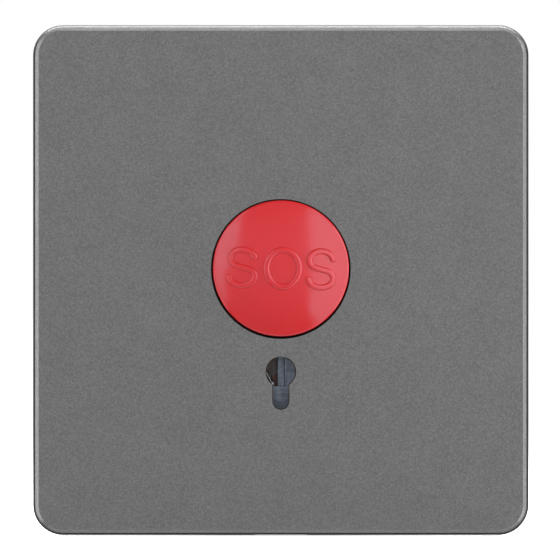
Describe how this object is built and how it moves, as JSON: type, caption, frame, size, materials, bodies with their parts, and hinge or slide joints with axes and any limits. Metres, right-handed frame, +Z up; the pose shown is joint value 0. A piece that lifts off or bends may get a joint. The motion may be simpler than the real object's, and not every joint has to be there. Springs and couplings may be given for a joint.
{
  "type": "panic button",
  "caption": "Wall-mounted panic button: a square grey plate with a latching red push button and a keyhole that resets it.",
  "frame": {"origin": "centre of the plate on the wall plane, midway between the two wall screws", "axes": "+Z up, -Y out of the wall towards the person, +X to the right of someone who faces the plate"},
  "size_m": [0.086, 0.049, 0.0886],
  "materials": {
    "cover_paint": "satin",
    "button_red": "gloss",
    "frame_plastic": "satin",
    "housing_plastic": "satin",
    "mechanism_plastic": "satin",
    "switch_plastic": "satin",
    "lock_steel": "satin",
    "spring_steel": "satin",
    "screw_steel": "satin",
    "terminal_brass": "satin"
  },
  "bodies": {
    "base": {"front_cover": "cover_paint", "mounting_frame": "frame_plastic", "rear_housing": "housing_plastic", "housing_screws": "screw_steel", "button_spring": "spring_steel", "lock_spring": "spring_steel", "guide_bridge": "mechanism_plastic", "bridge_screws": "screw_steel", "switch_case": "switch_plastic", "switch_cover": "switch_plastic", "lever_pin": "screw_steel", "terminal_common": "terminal_brass", "terminal_normally_open": "terminal_brass", "terminal_normally_closed": "terminal_brass", "switch_screws": "screw_steel"},
    "button": {"button_cap": "button_red", "plunger": "mechanism_plastic", "cap_screw": "screw_steel"},
    "lock": {"lock_plate": "lock_steel"},
    "lever": {"switch_lever": "lock_steel"},
    "pin": {"switch_pin": "button_red"}
  },
  "joints": [
    {"name": "button_press", "type": "slide", "parent": "base", "child": "button", "axis": [0, 1, 0], "range_m": [0, 0.004], "stiffness_N_per_m": 900, "springref_m": -0.003, "deforming": ["button_spring", "lock_spring"]},
    {"name": "lock_plate_lift", "type": "slide", "parent": "base", "child": "lock", "axis": [0, 0, 1], "range_m": [0, 0.0018]},
    {"name": "switch_lever_turn", "type": "hinge", "parent": "base", "child": "lever", "pos_m": [-0.0145, 0.01326, 0.00192], "axis": [0, 0, 1], "range_deg": [0, 12.6]},
    {"name": "switch_pin_travel", "type": "slide", "parent": "base", "child": "pin", "axis": [0, 1, 0], "range_m": [0, 0.00115]}
  ],
  "couplings": [
    {"joint": "lock_plate_lift", "follows": "button_press", "ratio": 0.3996},
    {"joint": "switch_lever_turn", "follows": "button_press", "rad_per_m": 54.667},
    {"joint": "switch_pin_travel", "follows": "button_press", "ratio": 0.27777}
  ]
}
